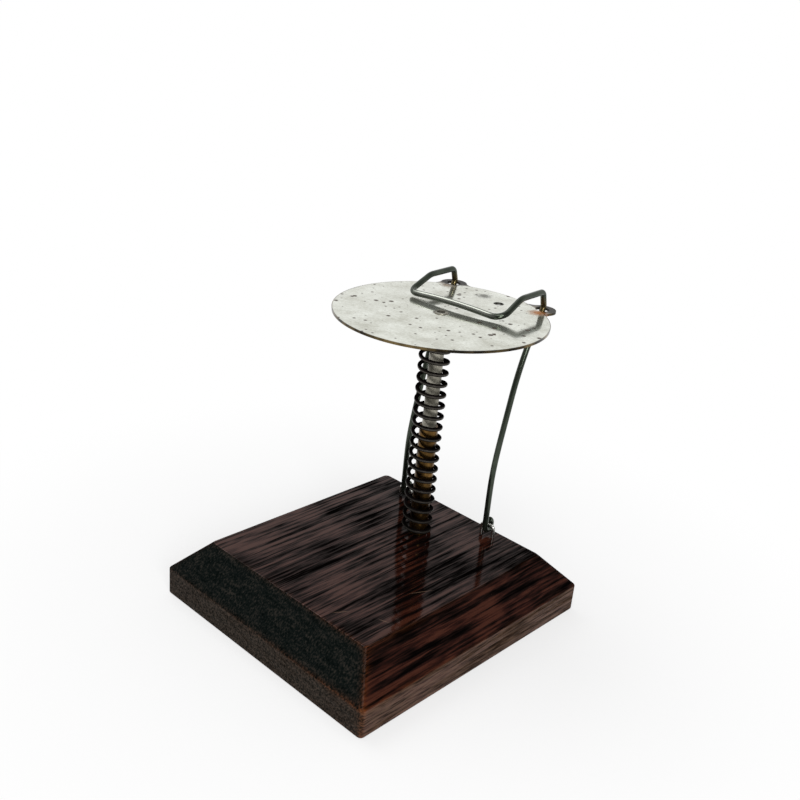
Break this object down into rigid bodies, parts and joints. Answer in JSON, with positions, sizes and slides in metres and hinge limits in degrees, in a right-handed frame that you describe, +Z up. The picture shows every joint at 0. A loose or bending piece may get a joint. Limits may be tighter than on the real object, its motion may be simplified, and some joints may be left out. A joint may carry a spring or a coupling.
{
  "type": "filing spindle",
  "caption": "Desk filing spindle on a bevelled wooden block: a spring-loaded round plate guards a fixed spike, and a hinged wire bail through the plate's ears holds papers down.",
  "frame": {"origin": "middle of the block's flat underside", "axes": "+Z up along the spindle, +Y to the rear where the bail is hinged, +X to the right seen from the front"},
  "size_m": [0.1016, 0.1171, 0.1161],
  "materials": {
    "varnished_oak": "dark gloss varnish, worn at the edges",
    "aged_brass": "brown with age",
    "grey_steel": "dull grey",
    "nickel_plate": "nickel plate, dulled and pitted",
    "blackened_spring_wire": "blackened",
    "dark_steel_wire": "darkened, satin",
    "bright_steel": "bright drawn wire"
  },
  "bodies": {
    "base": {"base_block": "varnished_oak", "guide_tube": "aged_brass", "spike": "grey_steel", "spike_plug": "aged_brass", "clamp_washer": "bright_steel", "clamp_nut": "bright_steel", "staple_left": "bright_steel", "staple_right": "bright_steel", "spring": "blackened_spring_wire"},
    "plate": {"top_plate": "nickel_plate", "plunger_tube": "grey_steel"},
    "bail": {"bail_wire": "dark_steel_wire"}
  },
  "joints": [
    {"name": "plate_press", "type": "slide", "parent": "base", "child": "plate", "axis": [0, 0, -1], "range_m": [0, 0.032], "stiffness_N_per_m": 500, "springref_m": -0.012, "deforming": ["spring"]},
    {"name": "bail_swing", "type": "hinge", "parent": "base", "child": "bail", "pos_m": [-0.0015, 0.03813, 0.0266], "axis": [-0.9962, -0.0872, 0], "range_deg": [0, 14.1]}
  ],
  "couplings": [
    {"joint": "bail_swing", "follows": "plate_press", "rad_per_m": 7.6794}
  ]
}
